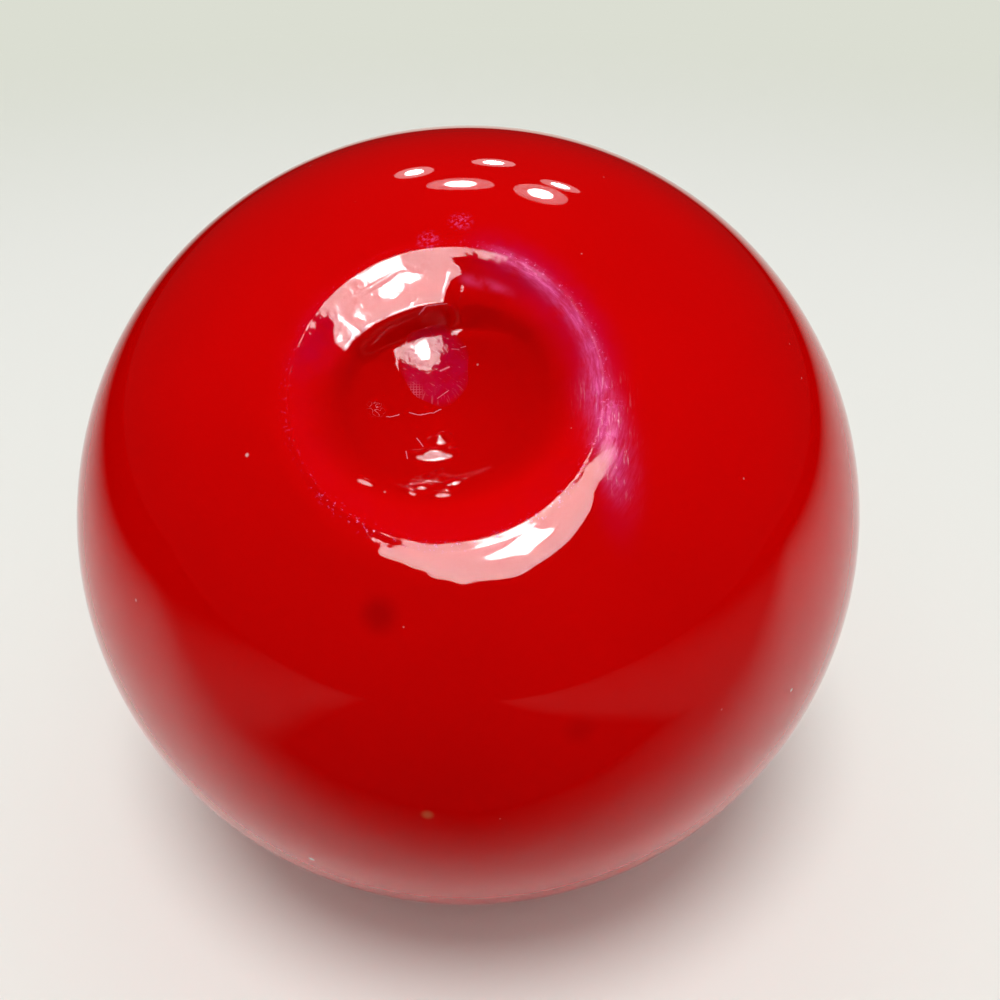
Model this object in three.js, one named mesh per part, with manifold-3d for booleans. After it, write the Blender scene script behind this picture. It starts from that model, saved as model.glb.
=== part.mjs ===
// A glass tomato paperweight in millimetres, +Z up, standing on its foot ring at the origin.
// The body is a clear gather of glass, dipped in white and then in red glass. Its base was pushed in
// while soft, and the iron's mark in the middle was ground off. Green glass sepals and a stem are stuck
// on over the place at the crown where the body was cut from the blowing iron.

import * as THREE from "three";
import { mergeVertices } from "three/addons/utils/BufferGeometryUtils.js";
import Module from "manifold-3d";

// Body
const bodyDiameter = 88;
const equatorHeight = 39;
const crownRise = 36;
const crownFullness = 2.3;
const crownDimpleDepth = 6;
const crownDimpleRadius = 13;

// Foot ring and the pushed-in base
const footRadius = 13.3;
const footFlatWidth = 1.6;
const kickDepth = 6;
const kickOffsetX = 1;
const kickOffsetY = 4;

// Layers of glass
const redThickness = 3;
const whiteThickness = 1.8;
const neckRadius = 4;

// Pontil wad
const pontilRadius = 3.4;
const pontilThickness = 0.8;

// Stem
const overallHeight = 86;
const stemFootRadius = 5.6;
const stemFootThickness = 1.6;
const stemFilletHeight = 3.4;
const stalkRadius = 3;
const stalkTipRadius = 2.4;
const stemBend = 8;
const stemBendPower = 2;

// Sepals
const sepalCount = 5;
const sepalFirstAngle = 90;
const sepalReach = 27;
const sepalWidestRadius = 13;
const sepalRootWidth = 6.2;
const sepalWidth = 8.8;
const sepalTipWidth = 1;
const sepalRootThickness = 2;
const sepalTipThickness = 1.2;
const sepalTipLift = 1.4;
const sepalLiftPower = 3;

// Gap that fused pieces keep to each other, and the upright gap of the sepals to the sloping crown
const gap = 0.3;
const sepalSeatGap = 0.36;

// Steps of the faceted surfaces. The sepals' spacing is a whole number of the body's segments.
const bodySegments = sepalCount * 8;
const smallSegments = 24;
const kickSteps = 6;
const wallSteps = 8;
const crownSteps = 10;
const layerBaseSteps = 10;
const layerCrownSteps = 8;
const pontilSteps = 2;
const stemUnderSteps = 3;
const stemFilletSteps = 4;
const stalkSteps = 5;
const stemTipSteps = 4;
const sepalSteps = 7;
const leafCurveSteps = 5;

const bodyRadius = bodyDiameter / 2;
const footInnerRadius = footRadius - footFlatWidth / 2;
const footOuterRadius = footRadius + footFlatWidth / 2;
const openingRadius = neckRadius + gap;

// Half-height of the ellipse that meets the foot ring's outer edge.
const lowerRise = equatorHeight / Math.sqrt(1 - (footOuterRadius / bodyRadius) ** 2);

// Height of the push-up over the ellipse's own lowest point.
const pushUp = kickDepth + lowerRise - equatorHeight;

// Depth of each layer's outer and inner surface below the red surface.
const redInset = redThickness;
const whiteOuterInset = redInset + gap;
const whiteInnerInset = whiteOuterInset + whiteThickness;
const coreInset = whiteInnerInset + gap;

const redGlass = new THREE.MeshStandardMaterial({ color: 0xb80408, roughness: 0.06, metalness: 0 });
const whiteGlass = new THREE.MeshStandardMaterial({ color: 0xf0eae2, roughness: 0.15, metalness: 0 });
const clearGlass = new THREE.MeshStandardMaterial({ color: 0xdfe8e6, roughness: 0.05, metalness: 0 });
const scuffedGlass = new THREE.MeshStandardMaterial({ color: 0x8f0a2c, roughness: 0.4, metalness: 0 });
const greenGlass = new THREE.MeshStandardMaterial({ color: 0x2f6b2a, roughness: 0.08, metalness: 0 });

const part = new THREE.Group();

// Evenly spaced values from first to last, both included.
function spaced(first, last, steps) {
  const values = [];
  for (let i = 0; i <= steps; i += 1) {
    values.push(first + ((last - first) * i) / steps);
  }
  return values;
}

// A soft hump that is 1 on the axis and 0 at the given radius and beyond.
function hump(r, radius) {
  if (r >= radius) {
    return 0;
  }
  return Math.cos((Math.PI * r) / (2 * radius)) ** 2;
}

// Height of the red surface inside the foot ring.
function kickHeight(r) {
  return kickDepth * hump(r, footInnerRadius);
}

// How far the crown's dimple is pressed in at a radius.
function dimple(r) {
  return crownDimpleDepth * Math.exp(-((r / crownDimpleRadius) ** 2));
}

// Height of the crown at a radius, for a surface that lies inset below the red one.
function crownHeight(r, inset) {
  const share = Math.min(1, r / (bodyRadius - inset));
  const rise = (1 - share ** crownFullness) ** (1 / crownFullness);
  return equatorHeight + (crownRise - inset) * rise - dimple(r);
}

// A profile point: its radius, its height, and how much of the kick's sideways offset it takes.
function at(r, z, lean = 0) {
  return { r, z, lean };
}

// The red surface under the equator, from the kick's middle over the foot ring to the equator.
function redBase() {
  const kick = spaced(0, footInnerRadius, kickSteps).map((r) =>
    at(r, kickHeight(r), hump(r, footInnerRadius)),
  );
  const footAngle = Math.asin(footOuterRadius / bodyRadius);
  const wall = spaced(footAngle, Math.PI / 2, wallSteps).map((a) =>
    at(bodyRadius * Math.sin(a), equatorHeight - lowerRise * Math.cos(a)),
  );
  return [...kick, ...wall];
}

// An inner surface under the equator, pushed up in the middle as the red one is.
function innerBase(inset) {
  const radius = bodyRadius - inset;
  const humpRadius = footRadius + inset;
  return spaced(0, Math.PI / 2, layerBaseSteps).map((a) => {
    const r = radius * Math.sin(a);
    const lean = hump(r, humpRadius);
    return at(r, equatorHeight - (lowerRise - inset) * Math.cos(a) + pushUp * lean, lean);
  });
}

// A surface above the equator, up to the rim of the opening under the stem.
function crown(inset, rimRadius, steps) {
  const radius = bodyRadius - inset;
  const rimAngle = Math.acos((rimRadius / radius) ** (crownFullness / 2));
  const points = spaced(0, rimAngle, steps).map((a) => {
    const r = radius * Math.cos(a) ** (2 / crownFullness);
    return at(r, crownHeight(r, inset));
  });
  return points.slice(1);
}

// A whole inner surface, from its pushed-up middle to the rim of the opening.
function layerSurface(inset, rimRadius) {
  return [...innerBase(inset), ...crown(inset, rimRadius, layerCrownSteps)];
}

// Turns a profile about the Z axis and shifts each ring sideways by its share of the kick's offset.
function turned(profile, segments) {
  const geometry = new THREE.LatheGeometry(
    profile.map((p) => new THREE.Vector2(p.r, p.z)),
    segments,
  );
  geometry.rotateX(Math.PI / 2);
  const position = geometry.getAttribute("position");
  for (let i = 0; i < position.count; i += 1) {
    const { lean } = profile[i % profile.length];
    position.setX(i, position.getX(i) + kickOffsetX * lean);
    position.setY(i, position.getY(i) + kickOffsetY * lean);
  }
  return geometry;
}

function addMesh(name, geometry, material) {
  const mesh = new THREE.Mesh(geometry, material);
  mesh.name = name;
  part.add(mesh);
  return mesh;
}

// Red casing: the shell that is seen, open at the crown under the stem.
const redOuter = [...redBase(), ...crown(0, openingRadius, crownSteps)];
const redInner = layerSurface(redInset, openingRadius);
addMesh("red_casing", turned([...redOuter, ...redInner.reverse()], bodySegments), redGlass);

// White underlay: the opaque layer that makes the red bright, open at the crown too.
const whiteOuter = layerSurface(whiteOuterInset, openingRadius);
const whiteInner = layerSurface(whiteInnerInset, openingRadius);
addMesh("white_underlay", turned([...whiteOuter, ...whiteInner.reverse()], bodySegments), whiteGlass);

// Clear core: the first gather, solid, with the neck stub that came off the iron.
const neckTop = crownHeight(0, 0);
const coreSurface = layerSurface(coreInset, neckRadius);
const neckEnd = [at(neckRadius, neckTop), at(0, neckTop)];
addMesh("clear_core", turned([...coreSurface, ...neckEnd], bodySegments), clearGlass);

// Pontil wad: the thin pad left by the second iron at the kick's middle, ground off.
const pontilTop = spaced(0, pontilRadius, pontilSteps).map((r) =>
  at(r, kickHeight(r) - gap, hump(r, footInnerRadius)),
);
const pontilFace = pontilTop.map((p) => at(p.r, p.z - pontilThickness, p.lean));
addMesh("pontil_wad", turned([...pontilFace, ...pontilTop.reverse()], smallSegments), scuffedGlass);

// Stem: a foot that covers the opening, a fillet, and a tapering stalk with a round tip, bent sideways.
const footTop = crownHeight(stemFootRadius, 0) + gap + stemFootThickness;
const stalkFoot = footTop + stemFilletHeight;
const tipCentre = overallHeight - stalkTipRadius;
const stemUnderside = spaced(0, stemFootRadius, stemUnderSteps).map((r) => at(r, crownHeight(r, 0) + gap));
const stemFillet = new THREE.QuadraticBezierCurve(
  new THREE.Vector2(stemFootRadius, footTop),
  new THREE.Vector2(stalkRadius, footTop),
  new THREE.Vector2(stalkRadius, stalkFoot),
);
const stemSide = stemFillet.getPoints(stemFilletSteps).map((p) => at(p.x, p.y));
const stalk = spaced(0, 1, stalkSteps).map((t) =>
  at(stalkRadius + (stalkTipRadius - stalkRadius) * t, stalkFoot + (tipCentre - stalkFoot) * t),
);
const stemTip = spaced(0, Math.PI / 2, stemTipSteps).map((a) =>
  at(stalkTipRadius * Math.cos(a), tipCentre + stalkTipRadius * Math.sin(a)),
);
const stemProfile = [...stemUnderside, ...stemSide, ...stalk.slice(1), ...stemTip.slice(1)];
const stemGeometry = turned(stemProfile, smallSegments);
const stemPosition = stemGeometry.getAttribute("position");
for (let i = 0; i < stemPosition.count; i += 1) {
  const share = Math.max(0, (stemPosition.getZ(i) - footTop) / (overallHeight - footTop));
  stemPosition.setY(i, stemPosition.getY(i) - stemBend * share ** stemBendPower);
}
addMesh("stem", stemGeometry, greenGlass);

// A closed geometry as a solid that can be cut.
const wasm = await Module();
wasm.setup();
const weldTolerance = 1e-4;
function solid(geometry) {
  const bare = geometry.clone();
  bare.deleteAttribute("normal");
  bare.deleteAttribute("uv");
  const merged = mergeVertices(bare, weldTolerance);
  return new wasm.Manifold(
    new wasm.Mesh({
      numProp: 3,
      vertProperties: merged.getAttribute("position").array,
      triVerts: new Uint32Array(merged.index.array),
    }),
  );
}

// A solid as a geometry again.
function geometryOf(cut) {
  const mesh = cut.getMesh();
  const geometry = new THREE.BufferGeometry();
  geometry.setAttribute("position", new THREE.BufferAttribute(mesh.vertProperties, 3));
  geometry.setIndex(new THREE.BufferAttribute(mesh.triVerts, 1));
  geometry.computeVertexNormals();
  return geometry;
}

// Sepals: leaf outlines cut from a shell that lies on the crown and lifts off it towards the tips.
const sepalRoot = stemFootRadius + gap;
const sepalLength = sepalReach - sepalRoot;
function sepalShare(r) {
  return Math.min(1, Math.max(0, (r - sepalRoot) / sepalLength));
}
function sepalUnder(r) {
  return crownHeight(r, 0) + sepalSeatGap + sepalTipLift * sepalShare(r) ** sepalLiftPower;
}
function sepalThickness(r) {
  return sepalRootThickness + (sepalTipThickness - sepalRootThickness) * sepalShare(r);
}
const shellRadii = spaced(sepalRoot - gap, sepalReach + gap, sepalSteps);
const shellUnder = shellRadii.map((r) => at(r, sepalUnder(r)));
const shellOver = shellRadii.map((r) => at(r, sepalUnder(r) + sepalThickness(r)));
const sepalShell = solid(turned([...shellUnder, ...shellOver.reverse(), shellUnder[0]], bodySegments));

const leaf = new THREE.Shape();
const nearRoot = (sepalRoot + sepalWidestRadius) / 2;
const nearTip = (sepalWidestRadius + sepalReach) / 2;
leaf.moveTo(sepalRoot, -sepalRootWidth / 2);
leaf.quadraticCurveTo(nearRoot, -sepalWidth / 2, sepalWidestRadius, -sepalWidth / 2);
leaf.quadraticCurveTo(nearTip, -sepalWidth / 2, sepalReach, -sepalTipWidth / 2);
leaf.lineTo(sepalReach, sepalTipWidth / 2);
leaf.quadraticCurveTo(nearTip, sepalWidth / 2, sepalWidestRadius, sepalWidth / 2);
leaf.quadraticCurveTo(nearRoot, sepalWidth / 2, sepalRoot, sepalRootWidth / 2);
leaf.closePath();
const leafPrism = new THREE.ExtrudeGeometry(leaf, {
  depth: overallHeight,
  bevelEnabled: false,
  curveSegments: leafCurveSteps,
});
const sepalGeometry = geometryOf(sepalShell.intersect(solid(leafPrism)));
for (let i = 0; i < sepalCount; i += 1) {
  const sepal = addMesh(`sepal_${i + 1}`, sepalGeometry, greenGlass);
  sepal.rotation.z = THREE.MathUtils.degToRad(sepalFirstAngle + (360 * i) / sepalCount);
}

export default part;
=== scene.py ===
import math
from functools import partialmethod, reduce

import bpy
from mathutils import Matrix, Vector
from mathutils.bvhtree import BVHTree


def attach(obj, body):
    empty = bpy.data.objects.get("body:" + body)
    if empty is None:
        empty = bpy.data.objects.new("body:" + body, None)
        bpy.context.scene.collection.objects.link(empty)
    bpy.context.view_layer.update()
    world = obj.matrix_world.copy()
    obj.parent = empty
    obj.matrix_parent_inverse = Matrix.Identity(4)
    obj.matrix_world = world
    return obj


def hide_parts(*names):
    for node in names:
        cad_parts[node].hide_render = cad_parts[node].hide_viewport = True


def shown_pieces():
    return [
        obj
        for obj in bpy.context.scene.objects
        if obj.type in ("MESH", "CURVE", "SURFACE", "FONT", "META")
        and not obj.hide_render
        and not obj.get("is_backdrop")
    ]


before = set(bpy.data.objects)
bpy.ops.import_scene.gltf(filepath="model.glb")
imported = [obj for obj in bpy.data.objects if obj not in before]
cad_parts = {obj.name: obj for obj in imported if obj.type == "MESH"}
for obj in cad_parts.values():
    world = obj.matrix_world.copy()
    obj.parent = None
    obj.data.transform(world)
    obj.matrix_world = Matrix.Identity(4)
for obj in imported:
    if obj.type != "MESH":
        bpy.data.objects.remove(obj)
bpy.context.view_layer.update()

# Clear core: the first gather of glass, rolled round and left solid, with the neck stub that came
# off the iron. It is clear glass with a few seeds, and the white layer hides it.
GLASS_IOR = 1.52
CLEAR_ROUGHNESS = 0.04
CLEARNESS = 0.9
CLEAR_DEEP = (0.80, 0.89, 0.87)
CLEAR_PALE = (0.86, 0.92, 0.90)
SEED_PALE = (0.95, 0.97, 0.97)
SEED_EDGE = (0.68, 0.74)
SEED_MOTTLE = (0.9, 4.0)
GATHER_SCALE = 0.05
MM_PER_METRE = 1000.0


class Measure:
    """A number inside a node tree, so that a rule reads as plain arithmetic."""

    def __init__(self, tree, socket):
        self.tree = tree
        self.socket = socket

    def step(self, operation, *others):
        """The result of a math node on this number and others."""
        node = self.tree.nodes.new("ShaderNodeMath")
        node.operation = operation
        for place, value in enumerate((self, *others)):
            if isinstance(value, Measure):
                self.tree.links.new(value.socket, node.inputs[place])
            else:
                node.inputs[place].default_value = value
        return Measure(self.tree, node.outputs[0])

    def __rsub__(self, other):
        return self.step("MULTIPLY_ADD", -1.0, other)

    __add__ = __radd__ = partialmethod(step, "ADD")
    __sub__ = partialmethod(step, "SUBTRACT")
    __mul__ = __rmul__ = partialmethod(step, "MULTIPLY")
    __truediv__ = partialmethod(step, "DIVIDE")
    __pow__ = partialmethod(step, "POWER")
    least = partialmethod(step, "MINIMUM")
    most = partialmethod(step, "MAXIMUM")
    above = partialmethod(step, "GREATER_THAN")
    sin = partialmethod(step, "SINE")
    cos = partialmethod(step, "COSINE")
    root = partialmethod(step, "SQRT")
    exp = partialmethod(step, "EXPONENT")

    def rising(self, low, high):
        """0 up to low, 1 from high, and a smooth rise between them."""
        node = self.tree.nodes.new("ShaderNodeMapRange")
        node.interpolation_type = "SMOOTHSTEP"
        self.tree.links.new(self.socket, node.inputs["Value"])
        node.inputs["From Min"].default_value = min(low, high)
        node.inputs["From Max"].default_value = max(low, high)
        node.inputs["To Min"].default_value = 0.0 if low < high else 1.0
        node.inputs["To Max"].default_value = 1.0 if low < high else 0.0
        return Measure(self.tree, node.outputs["Result"])

    def within(self, rise, fall):
        """1 between a rise and a fall, each given by where it begins and ends."""
        return self.rising(*rise) * self.rising(*fall)

    def hump(self):
        """1 at 0, with a smooth fall to both sides."""
        return (self * self * -1.0).exp()


def split(tree, vector):
    """The three parts of a vector."""
    node = tree.nodes.new("ShaderNodeSeparateXYZ")
    tree.links.new(vector, node.inputs[0])
    return [Measure(tree, socket) for socket in node.outputs]


def joined(tree, x, y, z):
    """A vector from its three parts."""
    node = tree.nodes.new("ShaderNodeCombineXYZ")
    for socket, value in zip(node.inputs, (x, y, z)):
        if isinstance(value, Measure):
            tree.links.new(value.socket, socket)
        else:
            socket.default_value = value
    return node.outputs[0]


def new_glass(name, roughness):
    """A glass finish: its material, its node tree and its shader."""
    material = bpy.data.materials.new(name)
    material.use_nodes = True
    tree = material.node_tree
    shader = tree.nodes["Principled BSDF"]
    shader.inputs["IOR"].default_value = GLASS_IOR
    shader.inputs["Roughness"].default_value = roughness
    return material, tree, shader


def millimetres(tree):
    """The place on the piece, in millimetres of the shared frame."""
    place = tree.nodes.new("ShaderNodeTexCoord")
    scaled = tree.nodes.new("ShaderNodeVectorMath")
    scaled.operation = "SCALE"
    scaled.inputs["Scale"].default_value = MM_PER_METRE
    tree.links.new(place.outputs["Object"], scaled.inputs[0])
    return scaled.outputs[0]


def mottle(tree, place, scale, detail=2.0, roughness=0.5):
    """Cloudy variation from 0 to 1: patches to a unit of place, finer layers and their strength."""
    noise = tree.nodes.new("ShaderNodeTexNoise")
    noise.inputs["Scale"].default_value = scale
    noise.inputs["Detail"].default_value = detail
    noise.inputs["Roughness"].default_value = roughness
    tree.links.new(place, noise.inputs["Vector"])
    return Measure(tree, noise.outputs["Fac"])


def tinted(tree, under, over, share):
    """A colour with another laid over it by a share, each a socket or three linear values."""
    mix = tree.nodes.new("ShaderNodeMix")
    mix.data_type = "RGBA"
    tree.links.new(share.socket, mix.inputs[0])
    for socket, colour in ((mix.inputs[6], under), (mix.inputs[7], over)):
        if isinstance(colour, tuple):
            socket.default_value = (*colour, 1.0)
        else:
            tree.links.new(colour, socket)
    return mix.outputs[2]


def compared(tree, operation, vector, other):
    """A number from a vector and a fixed one, such as their distance or their dot product."""
    node = tree.nodes.new("ShaderNodeVectorMath")
    node.operation = operation
    tree.links.new(vector, node.inputs[0])
    node.inputs[1].default_value = other
    return Measure(tree, node.outputs["Value"])


def spot(tree, place, centre, radius, softness):
    """1 inside a round spot and 0 outside, with a soft rim."""
    distance = compared(tree, "DISTANCE", place, centre)
    return distance.rising(radius + softness, radius - softness)


clear_glass, tree, shader = new_glass("clear_glass", CLEAR_ROUGHNESS)
seeds = mottle(tree, millimetres(tree), *SEED_MOTTLE).rising(*SEED_EDGE)
gather = mottle(tree, millimetres(tree), GATHER_SCALE)
colour = tinted(tree, CLEAR_DEEP, CLEAR_PALE, gather)
tree.links.new(tinted(tree, colour, SEED_PALE, seeds), shader.inputs["Base Color"])
shader.inputs["Transmission Weight"].default_value = CLEARNESS
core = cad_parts["clear_core"]
core.data.materials.clear()
core.data.materials.append(clear_glass)

# White underlay: a thin coat of opaque white glass, picked up by dipping the core. It lies between
# the core and the red casing and keeps the red bright.
WHITE_ROUGHNESS = 0.16
WHITE_DEEP = (0.86, 0.83, 0.78)
WHITE_PALE = (0.94, 0.92, 0.88)
CORD_EDGE = (0.35, 0.7)
CORD_MOTTLE = (0.12, 5.0)
white_glass, tree, shader = new_glass("white_glass", WHITE_ROUGHNESS)
cords = mottle(tree, millimetres(tree), *CORD_MOTTLE).rising(*CORD_EDGE)
tree.links.new(tinted(tree, WHITE_DEEP, WHITE_PALE, cords), shader.inputs["Base Color"])
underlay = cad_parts["white_underlay"]
underlay.data.materials.clear()
underlay.data.materials.append(white_glass)

# Red casing: the outer coat of glossy red glass over the white, shaped round with wet wood while
# hot. Its base was pushed in, which leaves the worn ring that it stands on. Its crown is dimpled.
BODY_SIZES = {
    "Body Radius": 0.044,
    "Equator Height": 0.039,
    "Lower Rise": 0.04117,
    "Crown Rise": 0.036,
    "Crown Fullness": 2.3,
    "Dimple Depth": 0.006,
    "Dimple Radius": 0.013,
    "Crest Roundness": 0.00105,
    "Lip Radius": 0.01339,
    "Lip Roundness": 0.00016,
    "Lip Slope": 0.5,
    "Shelf Slope": 0.28,
    "Shelf Start": 0.0024,
    "Shelf End": 0.0046,
    "Shelf Roundness": 0.0008,
    "Shelf End Slope": 0.26,
    "Kick Depth": 0.0034,
    "Kick Curve Across": 0.0125,
    "Kick Curve Along": 0.0135,
    "Kick Centre X": 0.0003,
    "Kick Centre Y": 0.0016,
    "Kick Roundness": 0.0006,
    "Kick Half Width": 0.0115,
    "Kick Half Length": 0.0088,
    "Kick Wall": 0.22,
    "Wall": 0.003,
    "Opening Radius": 0.0043,
    "Lip Waves": 0.00006,
    "Kick Waves": 0.00004,
    "Body Waves": 0.00012,
    "Segments": 240,
    "Rings": 400,
}
# How the rings of points are shared out: on the outer surface, on its base, and closest at the lip.
OUTER_SHARE = 0.88
BASE_SHARE = 0.64
LIP_WAY = 0.42
LIP_CLOSENESS = 0.3
SAME_PLACE = 1e-6
# The shelf's stretch in degrees, the ramps beyond its ends, and the zones of waves and folds.
SHELF_TURN = (38.0, 49.0), (111.0, 99.0)
SHELF_UNEVEN = 12.0
SHELF_END_RADIUS = 0.0125
SHELF_END_WIDTH = 0.0037
SHELF_END_INNER = (0.0062, 0.0088)
SHELF_END_SIDE = (0.004, 0.008)
LIP_ZONE = (0.0082, 0.0095), (0.0150, 0.0138)
KICK_ZONE = (0.0098, 0.0085)
FOLD_ZONE = (0.018, 0.016)
UNEVEN_MOTTLE = (300.0, 0.0)
LIP_WAVE_MOTTLE = (420.0, 2.0)
KICK_WAVE_MOTTLE = (480.0, 1.0)
BODY_WAVE_MOTTLE = (45.0, 0.0)
FOLD_RAGGED_SCALE, FOLD_RAGGED, FOLD_LEAST = 1200.0, 0.3, 0.85
FOLD_STEEPNESS = 4.0
# Folds in the kick's wall in millimetres: place, half length and width, angle in degrees, height.
KICK_FOLDS = (
    ((1.3, -2.5), 1.20, 1.00, 0, 0.68),
    ((2.1, -4.0), 2.60, 1.10, 8, 0.90),
    ((2.9, -6.4), 0.60, 0.45, 0, 0.36),
    ((2.0, -6.1), 0.45, 0.40, 0, 0.32),
    ((1.6, -6.8), 0.60, 0.40, 30, 0.32),
    ((8.1, -6.0), 1.30, 0.50, 35, 0.19),
    ((4.8, -7.5), 1.40, 0.50, 34, 0.22),
    ((3.7, -7.4), 1.20, 0.45, 12, 0.26),
    ((2.1, -8.4), 1.60, 0.55, 8, 0.21),
    ((0.9, -7.6), 1.30, 0.42, -5, 0.35),
    ((4.1, 11.2), 3.00, 0.40, -20, 0.05),
)
DEGREES = 180 / math.pi


def new_rule(name, sizes):
    """A Geometry Nodes tree with a named input for each size and for the glass, and its inputs."""
    tree = bpy.data.node_groups.new(name, "GeometryNodeTree")
    for label, value in sizes.items():
        kind = "NodeSocketInt" if isinstance(value, int) else "NodeSocketFloat"
        tree.interface.new_socket(label, in_out="INPUT", socket_type=kind).default_value = value
    tree.interface.new_socket("Glass", in_out="INPUT", socket_type="NodeSocketMaterial")
    tree.interface.new_socket("Geometry", in_out="OUTPUT", socket_type="NodeSocketGeometry")
    given = tree.nodes.new("NodeGroupInput")
    return tree, {socket.name: Measure(tree, socket) for socket in given.outputs if socket.name}


def surface_grid(tree, given):
    """A flat net of points, with how far along each is round the piece and along its profile."""
    net = tree.nodes.new("GeometryNodeMeshGrid")
    net.inputs["Size X"].default_value = 1.0
    net.inputs["Size Y"].default_value = 1.0
    tree.links.new((given["Segments"] + 1).socket, net.inputs["Vertices X"])
    tree.links.new(given["Rings"].socket, net.inputs["Vertices Y"])
    position = tree.nodes.new("GeometryNodeInputPosition")
    x, y, _ = split(tree, position.outputs[0])
    return net.outputs["Mesh"], x + 0.5, y + 0.5


def close_surface(tree, given, net, place):
    """Bends the net to its places, welds its seam and poles, and gives it its glass."""
    kinds = "SetPosition", "MergeByDistance", "SetShadeSmooth", "RealizeInstances", "SetMaterial"
    steps = [tree.nodes.new(f"GeometryNode{kind}") for kind in kinds]
    tree.links.new(place, steps[0].inputs["Position"])
    steps[1].inputs["Distance"].default_value = SAME_PLACE
    tree.links.new(given["Glass"].socket, steps[-1].inputs["Material"])
    for node in steps:
        tree.links.new(net, node.inputs["Geometry"])
        net = node.outputs[0]
    tree.links.new(net, tree.nodes.new("NodeGroupOutput").inputs[0])


def placed(name, data):
    """A new object in the scene, made of a mesh, a lamp or a camera."""
    thing = bpy.data.objects.new(name, data)
    bpy.context.scene.collection.objects.link(thing)
    return thing


def made(name, tree, sizes, material):
    """A piece made by a rule with these sizes, as a plain mesh that faces outwards."""
    piece = placed(name, bpy.data.meshes.new(name))
    modifier = piece.modifiers.new(name, "NODES")
    modifier.node_group = tree
    for item in tree.interface.items_tree:
        if item.in_out == "INPUT":
            modifier[item.identifier] = material if item.name == "Glass" else sizes[item.name]
    shaped = piece.evaluated_get(bpy.context.evaluated_depsgraph_get())
    mesh = bpy.data.meshes.new_from_object(shaped)
    piece.modifiers.clear()
    piece.data = mesh
    mesh.calc_loop_triangles()
    volume = 0.0
    for triangle in mesh.loop_triangles:
        a, b, c = (mesh.vertices[i].co for i in triangle.vertices)
        volume += a.dot(b.cross(c))
    if volume < 0:
        mesh.flip_normals()
    return piece


def length(x, y):
    """The length of a flat vector, from its two parts."""
    return (x * x + y * y).root()


def ramp(distance, roundness):
    """0 before a corner and the distance after it, with the corner rounded."""
    return (distance + length(distance, roundness)) * 0.5


def crown_fall(r, given):
    """How far the dimple under the stem is pressed in at a radius."""
    return given["Dimple Depth"] * (r / given["Dimple Radius"]).hump()


def fold(x, y, place, half_length, half_width, angle, height):
    """Height of a small fold, which runs at an angle through its place and is steep behind it."""
    turned = math.radians(angle)
    aside_x, aside_y = x - place[0], y - place[1]
    lengthwise = (aside_x * math.cos(turned) + aside_y * math.sin(turned)) / half_length
    crosswise = (aside_y * math.cos(turned) - aside_x * math.sin(turned)) / half_width
    crosswise = crosswise.most(crosswise * FOLD_STEEPNESS)
    return (1.0 - length(lengthwise, crosswise)).most(0.0) * height


body_rule, given = new_rule("body_rule", BODY_SIZES)
net, round_share, along = surface_grid(body_rule, given)
turn = round_share * (2 * math.pi)
way = (along / OUTER_SHARE).least((1.0 - along) / (1 - OUTER_SHARE))
inside = (along + 0.5 / BODY_SIZES["Rings"]).above(OUTER_SHARE)
outside = 1.0 - inside
inset = inside * given["Wall"]
radius = given["Body Radius"] - inset
lip_angle = math.asin(BODY_SIZES["Lip Radius"] / BODY_SIZES["Body Radius"])
before_lip = (lip_angle - LIP_CLOSENESS * LIP_WAY) / LIP_WAY ** 2
after_lip = (math.pi / 2 - lip_angle - LIP_CLOSENESS * (1 - LIP_WAY)) / (1 - LIP_WAY) ** 2
from_lip = (way / BASE_SHARE).least(1.0) - LIP_WAY
inwards, outwards = from_lip.least(0.0), from_lip.most(0.0)
bunched = outwards * outwards * after_lip - inwards * inwards * before_lip
base_angle = (from_lip * LIP_CLOSENESS + bunched + lip_angle).most(0.0)
fullness = 2.0 / BODY_SIZES["Crown Fullness"]
opening_share = given["Opening Radius"] / radius
rim_angle = (opening_share ** (given["Crown Fullness"] * 0.5)).step("ARCCOSINE")
crown_angle = ((way - BASE_SHARE) / (1 - BASE_SHARE)).most(0.0) * rim_angle
base_radius = radius * base_angle.sin()
crown_radius = radius * crown_angle.cos() ** fullness
wall_radius = base_radius * crown_angle.cos() ** fullness
plain_x, plain_y = wall_radius * turn.cos(), wall_radius * turn.sin()
drop = given["Equator Height"] - (given["Lower Rise"] - inset) * base_angle.cos() - inset
seat = ramp(drop, given["Crest Roundness"])
lip = given["Lip Radius"] + inset - base_radius
to_shelf = ramp(lip - given["Shelf Start"], given["Shelf Roundness"])
past_shelf = ramp(lip - given["Shelf End"], given["Shelf Roundness"])
lip_rise = ramp(lip, given["Lip Roundness"]) * given["Lip Slope"]
flattening = to_shelf * (given["Lip Slope"] - given["Shelf Slope"])
shelf = lip_rise - flattening - past_shelf * given["Shelf Slope"]
uneven = mottle(body_rule, joined(body_rule, plain_x, plain_y, 0.0), *UNEVEN_MOTTLE) - 0.5
shelf_turn = plain_y.step("ARCTAN2", plain_x) * DEGREES + uneven * SHELF_UNEVEN
shelf_ends = (1.0 - shelf_turn.within(*SHELF_TURN)) * plain_y.rising(*SHELF_END_SIDE) * outside
end_width = (SHELF_END_RADIUS - base_radius).most(0.0).least(SHELF_END_WIDTH)
end_drop = end_width * base_radius.rising(*SHELF_END_INNER) * shelf_ends * given["Shelf End Slope"]
kick_x, kick_y = plain_x - given["Kick Centre X"], plain_y - given["Kick Centre Y"]
fall_across = kick_x * kick_x / given["Kick Curve Across"]
fall_along = kick_y * kick_y / given["Kick Curve Along"]
bowl = ramp(given["Kick Depth"] - (fall_across + fall_along) * 0.5, given["Kick Roundness"])
kick_across = plain_x / (given["Kick Half Width"] + inset)
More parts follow.
